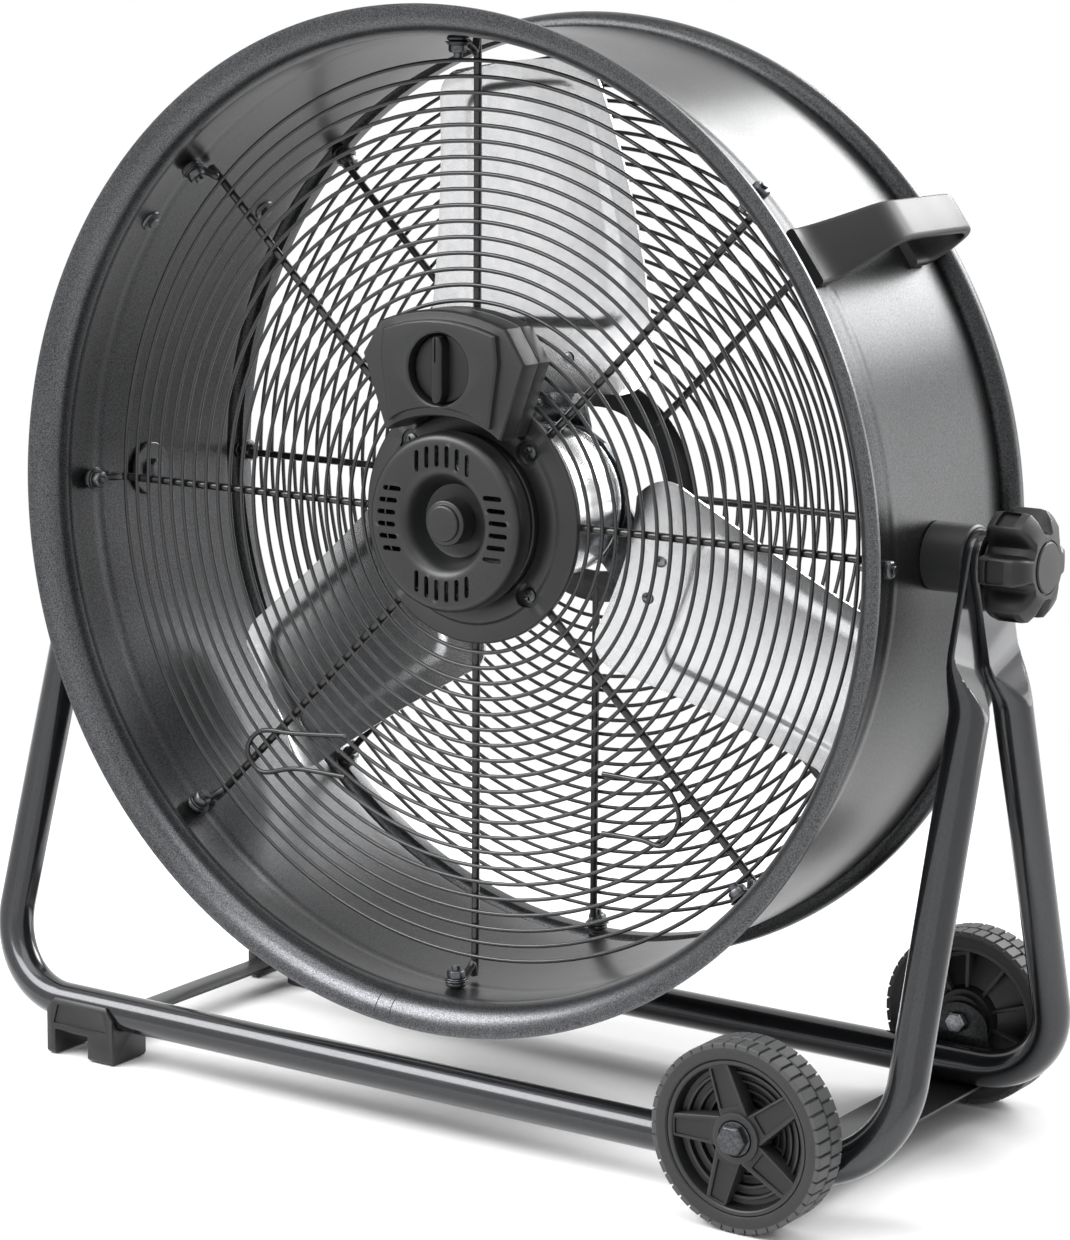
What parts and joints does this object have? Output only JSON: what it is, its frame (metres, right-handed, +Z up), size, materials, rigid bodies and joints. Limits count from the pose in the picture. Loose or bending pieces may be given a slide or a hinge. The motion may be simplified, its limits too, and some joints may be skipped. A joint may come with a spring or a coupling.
{
  "type": "drum fan",
  "caption": "Floor drum fan: rolled steel drum with wire guards and a bladed rotor, tilting on a bent tube stand with wheels and feet.",
  "frame": {"origin": "on the floor under the middle of the fan: the centre of the bottom of its box", "axes": "+Z up, the air leaves along -Y, +X is to the right seen from the front, on the side of the wheels"},
  "size_m": [0.7992, 0.3446, 0.742],
  "materials": {
    "drum_paint": "fine textured charcoal powder coat",
    "guard_wire": "satin black coated wire",
    "tube_paint": "glossy gunmetal paint on steel tube",
    "black_plastic": "fine grained black moulding",
    "grey_plastic": "fine grained dark grey moulding",
    "bright_aluminium": "satin rolled aluminium",
    "zinc_steel": "zinc plated steel",
    "copper_wire": "enamelled copper winding",
    "tyre_rubber": "matt black rubber"
  },
  "bodies": {
    "stand": {"front_tube": "tube_paint", "rear_tube": "tube_paint", "cross_strap": "drum_paint", "axle_bracket": "drum_paint", "foot_front": "black_plastic", "foot_rear": "black_plastic", "axle_bolt_front": "zinc_steel", "axle_bolt_rear": "zinc_steel", "axle_nut_front": "zinc_steel", "axle_nut_rear": "zinc_steel"},
    "drum": {"drum_shell": "drum_paint", "front_grille": "guard_wire", "rear_grille": "guard_wire", "cord_hook_left": "guard_wire", "cord_hook_right": "guard_wire", "handle_right": "black_plastic", "handle_left": "black_plastic", "mounting_plate": "grey_plastic", "motor_collar": "black_plastic", "motor_front_cover": "grey_plastic", "motor_end_cap": "zinc_steel", "motor_casing": "bright_aluminium", "motor_rear_bell": "bright_aluminium", "bearing_front": "zinc_steel", "bearing_rear": "zinc_steel", "stator_core": "zinc_steel", "winding_front": "copper_wire", "winding_rear": "copper_wire", "control_box_front": "grey_plastic", "control_box_back": "grey_plastic", "cord_gland": "black_plastic", "speed_switch": "black_plastic", "capacitor": "black_plastic", "pivot_spacer_right": "black_plastic", "pivot_spacer_left": "black_plastic", "pivot_plate_right": "zinc_steel", "pivot_plate_left": "zinc_steel", "pivot_bolt_right": "zinc_steel", "pivot_bolt_left": "zinc_steel"},
    "rotor": {"motor_shaft": "zinc_steel", "rotor_core": "zinc_steel", "hub_spider": "zinc_steel", "blade_1": "bright_aluminium", "blade_2": "bright_aluminium", "blade_3": "bright_aluminium"},
    "dial": {"speed_knob": "black_plastic"},
    "clamp_right": {"clamp_knob_right": "black_plastic"},
    "clamp_left": {"clamp_knob_left": "black_plastic"},
    "wheel_front": {"wheel_front_rim": "black_plastic", "wheel_front_tyre": "tyre_rubber"},
    "wheel_rear": {"wheel_rear_rim": "black_plastic", "wheel_rear_tyre": "tyre_rubber"}
  },
  "joints": [
    {"name": "drum_tilt", "type": "hinge", "parent": "stand", "child": "drum", "pos_m": [0, 0, 0.402], "axis": [1, 0, 0], "range_deg": [-90, 90]},
    {"name": "rotor_spin", "type": "hinge", "parent": "drum", "child": "rotor", "pos_m": [0, 0, 0.402], "axis": [0, 1, 0], "continuous": true},
    {"name": "dial_turn", "type": "hinge", "parent": "drum", "child": "dial", "pos_m": [0, -0.08, 0.5044], "axis": [0, 1, 0], "range_deg": [0, 135]},
    {"name": "clamp_right_turn", "type": "hinge", "parent": "drum", "child": "clamp_right", "pos_m": [0.38, 0, 0.402], "axis": [1, 0, 0], "range_deg": [0, 360]},
    {"name": "clamp_left_turn", "type": "hinge", "parent": "drum", "child": "clamp_left", "pos_m": [-0.38, 0, 0.402], "axis": [-1, 0, 0], "range_deg": [0, 360]},
    {"name": "wheel_front_roll", "type": "hinge", "parent": "stand", "child": "wheel_front", "pos_m": [0.279, -0.152, 0.06], "axis": [0, 1, 0], "continuous": true},
    {"name": "wheel_rear_roll", "type": "hinge", "parent": "stand", "child": "wheel_rear", "pos_m": [0.279, 0.152, 0.06], "axis": [0, 1, 0], "continuous": true}
  ]
}
